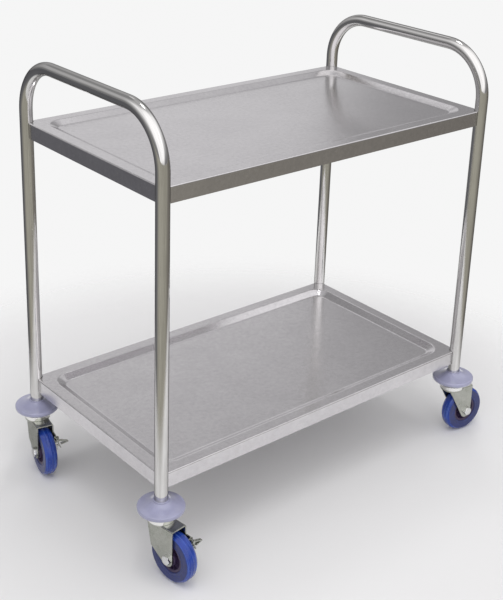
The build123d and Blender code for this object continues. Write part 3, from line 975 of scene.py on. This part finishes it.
@dataclass(frozen=True)
class SkyPatch:
    """Round soft-edged area of the sky, by angles in degrees and its level of light.

    The azimuth counts from +X and the elevation from the horizon. The area is full up to the inner angle from
    its middle and has faded out at the outer one.
    """

    azimuth: float
    elevation: float
    inner: float
    outer: float
    level: float

    def share(self, bench: Bench, spot: Wire) -> Wire:
        """How far it covers each direction: a smooth step of the cosine of the angle from its middle.

        Args:
            bench: the sky's node tree.
            spot: direction in the sky.

        Returns:
            Its share from 0 to 1.
        """
        a, e = math.radians(self.azimuth), math.radians(self.elevation)
        toward = (math.cos(a) * math.cos(e), math.sin(a) * math.cos(e), math.sin(e))
        inner, outer = math.cos(math.radians(self.inner)), math.cos(math.radians(self.outer))
        return bench.along(spot, toward).band(outer, inner)


@dataclass(frozen=True)
class SoftBox:
    """Rectangular lamp: its place, the point that it faces, its two sides and its power in watts.

    A box that isn't mirrored gives light but stays out of reflections.
    """

    name: str
    at: Triple
    aim: Triple
    size: Pair
    power: float
    mirrored: bool = True

    def hang(self) -> None:
        """Put the lamp up, facing its aim."""
        data = bpy.data.lights.new(self.name, "AREA")
        data.shape = "RECTANGLE"
        data.size, data.size_y = self.size
        data.energy = self.power
        lamp = bpy.data.objects.new(self.name, data)
        bpy.context.collection.objects.link(lamp)
        lamp.location = self.at
        lamp.visible_glossy = self.mirrored
        away = Vector(self.at) - Vector(self.aim)
        lamp.rotation_euler = away.to_track_quat("Z", "Y").to_euler()


@dataclass
class Studio:
    """Pale round floor, backdrop, soft sky and lamps, and the camera of the photograph."""

    floor_colour: Colour = (0.75, 0.75, 0.75)
    floor_full: float = 0.70
    floor_radius: float = 1.05
    floor_rings: int = 8
    floor_columns: int = 96
    floor_roughness: float = 0.75
    floor_gloss: float = 0.2
    floor_grain: float = 0.02
    floor_grain_share: float = 0.1
    backdrop: float = 0.92
    backdrop_azimuth: float = 49.6
    backdrop_half: Pair = (17.0, 34.0)
    backdrop_down: Pair = (-0.68, -0.84)
    front_shade: Colour = (0.385, 0.37, 0.315)
    front_turn: Pair = (0.15, -0.75)
    left_shade: Colour = (0.14, 0.14, 0.15)
    right_shade: Colour = (0.195, 0.182, 0.162)
    side_turn: Pair = (-0.6, 0.6)
    sky_tint: Colour = (1.0, 0.99, 1.0)
    horizon: float = 0.22
    horizon_fade: float = -0.03
    overhead: float = 1.12
    haze: float = 0.8
    sky_patches: tuple[SkyPatch, ...] = (
        SkyPatch(azimuth=70.0, elevation=40.0, inner=34.0, outer=54.0, level=0.52),
        SkyPatch(azimuth=58.0, elevation=14.0, inner=8.0, outer=19.0, level=0.76),
        SkyPatch(azimuth=29.5, elevation=21.0, inner=13.5, outer=16.5, level=0.37),
        SkyPatch(azimuth=93.0, elevation=43.0, inner=6.0, outer=19.0, level=0.29),
        SkyPatch(azimuth=66.5, elevation=44.5, inner=3.5, outer=7.5, level=0.95),
        SkyPatch(azimuth=32.0, elevation=52.0, inner=5.0, outer=12.0, level=0.66),
        SkyPatch(azimuth=245.0, elevation=46.0, inner=36.0, outer=56.0, level=1.42),
        SkyPatch(azimuth=222.0, elevation=12.0, inner=10.0, outer=22.0, level=1.25),
    )
    boxes: tuple[SoftBox, ...] = (
        SoftBox("corner_box", at=(0.79, 0.71, 3.75), aim=(0.1, 0.0, 0.6), size=(0.5, 0.5), power=8.0),
        SoftBox(
            "long_box", at=(-0.35, -0.41, 3.2), aim=(-0.05, -0.06, 0.5), size=(0.25, 3.0), power=19.0,
            mirrored=False,
        ),
    )
    camera_at: Triple = (-1.42400, -1.64512, 1.39054)
    right: Triple = (0.76882878, -0.63868778, 0.0313086)
    up: Triple = (0.20384208, 0.29119645, 0.93469408)
    back: Triple = (-0.60609464, -0.7122377, 0.35407165)
    lens: float = 70.0744
    sensor: float = 36.0
    shift: Pair = (0.00318, -0.16607)
    far_clip: float = 60.0

    def camera(self) -> None:
        """Set up the camera at the photograph's place, for a frame of 503 by 600."""
        data = bpy.data.cameras.new("photo_camera")
        data.lens = self.lens
        data.sensor_width = self.sensor
        data.sensor_fit = "AUTO"
        data.shift_x, data.shift_y = self.shift
        data.clip_end = self.far_clip
        camera = bpy.data.objects.new("photo_camera", data)
        bpy.context.collection.objects.link(camera)
        turn = Matrix((self.right, self.up, self.back)).transposed().to_4x4()
        camera.matrix_world = Matrix.Translation(self.camera_at) @ turn
        bpy.context.scene.camera = camera

    def paper(self, bench: Bench) -> dict[str, Any]:
        """Values and links of the floor's surface, which fades out towards its rim.

        Args:
            bench: the floor's node tree.

        Returns:
            Socket names with their values.
        """
        spot = bench.places(Places.OBJECT)
        away = bench.node("ShaderNodeVectorMath", {"operation": "LENGTH"}, {0: spot}, output="Value")
        grain = bench.noise(spot, self.floor_grain, detail=3.0)
        return {
            "Base Color": (*self.floor_colour, 1.0),
            "Roughness": self.floor_roughness + grain * self.floor_grain_share,
            "Specular IOR Level": self.floor_gloss,
            "Alpha": away.band(self.floor_radius, self.floor_full),
        }

    def floor(self) -> None:
        """Lay the floor: a plain pale round at z = 0, of rings about its middle."""
        shell = Shell()
        rings = np.linspace(self.floor_radius, 0.0, self.floor_rings)
        middle = Axes(np.zeros(3), *np.eye(3))
        shell.turned(middle, rings, 0 * rings, circle(self.floor_columns), closed=False)
        floor = shell.build("studio_floor")
        floor.data.materials.append(node_material("floor_paper", self.paper))

    def surround(self, bench: Bench, spot: Wire) -> Wire:
        """Colour of the studio below the horizon: a pale backdrop at the back and straight down, else dimmer.

        The areas round the sides are smooth steps of the cosine of the level angle from their middles, and
        the one straight down is a smooth step of the direction's height.

        Args:
            bench: the sky's node tree.
            spot: direction in the sky.

        Returns:
            The colour in each direction.
        """
        flatten = {0: spot, 1: (1.0, 1.0, 0.0)}
        flat = bench.node("ShaderNodeVectorMath", {"operation": "MULTIPLY"}, flatten)
        level = bench.node("ShaderNodeVectorMath", {"operation": "NORMALIZE"}, {0: flat})
        turn = math.radians(self.backdrop_azimuth)
        behind = bench.along(level, (math.cos(turn), math.sin(turn), 0.0))
        aside = bench.along(level, (math.sin(turn), -math.cos(turn), 0.0))
        inner, outer = (math.cos(math.radians(half)) for half in self.backdrop_half)
        sides = bench.blend(aside.band(*self.side_turn), self.left_shade, self.right_shade)
        dim = bench.blend(behind.band(*self.front_turn), sides, self.front_shade)
        down = bench.part(spot, "Z").band(*self.backdrop_down)
        pale = behind.band(outer, inner).most(down)
        return bench.blend(pale, dim, (self.backdrop, self.backdrop, self.backdrop))

    def world(self) -> None:
        """Put up the sky.

        It grows brighter from the horizon to overhead. Each patch then takes it to that patch's own level, in
        order. Below the horizon the studio's surround shows, as bright as its colour.
        """
        world = bpy.data.worlds.new("studio_sky")
        world.use_nodes = True
        bpy.context.scene.world = world
        bench = Bench(world.node_tree)
        spot = bench.node("ShaderNodeTexCoord", output="Generated")
        height = bench.part(spot, "Z")
        strength = self.horizon + height.band(0.0, self.haze) * (self.overhead - self.horizon)
        for patch in self.sky_patches:
            strength = strength + (patch.level - strength) * patch.share(bench, spot)
        below = height.band(0.0, self.horizon_fade)
        colour = bench.blend(below, self.sky_tint, self.surround(bench, spot))
        strength = strength + (1.0 - strength) * below
        sky = bench.node("ShaderNodeBackground", None, {"Color": colour, "Strength": strength})
        bench.node("ShaderNodeOutputWorld", None, {"Surface": sky})

    def build(self) -> None:
        """Put up the whole studio."""
        bpy.context.scene.view_settings.view_transform = "Standard"
        self.camera()
        self.floor()
        self.world()
        for box in self.boxes:
            box.hang()
        log.info("studio is up")


END_FRAMES = (
    EndFrame("left_end_frame", -HALF_LENGTH),
    EndFrame("right_end_frame", HALF_LENGTH),
)
CASTORS = (
    Castor("front_left", -HALF_LENGTH, -HALF_WIDTH, heading=-82.0),
    Castor("rear_left", -HALF_LENGTH, HALF_WIDTH, heading=-101.0),
    Castor("front_right", HALF_LENGTH, -HALF_WIDTH, heading=-7.0),
    Castor("rear_right", HALF_LENGTH, HALF_WIDTH, heading=92.0),
)


def main() -> None:
    """Build the scene in order."""
    logging.basicConfig(level=logging.INFO, format="%(message)s")
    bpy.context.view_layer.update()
    Studio().build()
    slots = {n: o.material_slots[0].name for n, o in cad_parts.items()}
    for node, slot in slots.items():
        dress(node, slot)
    for piece in (*END_FRAMES, *CASTORS):
        piece.build()


if __name__ == "__main__":
    main()
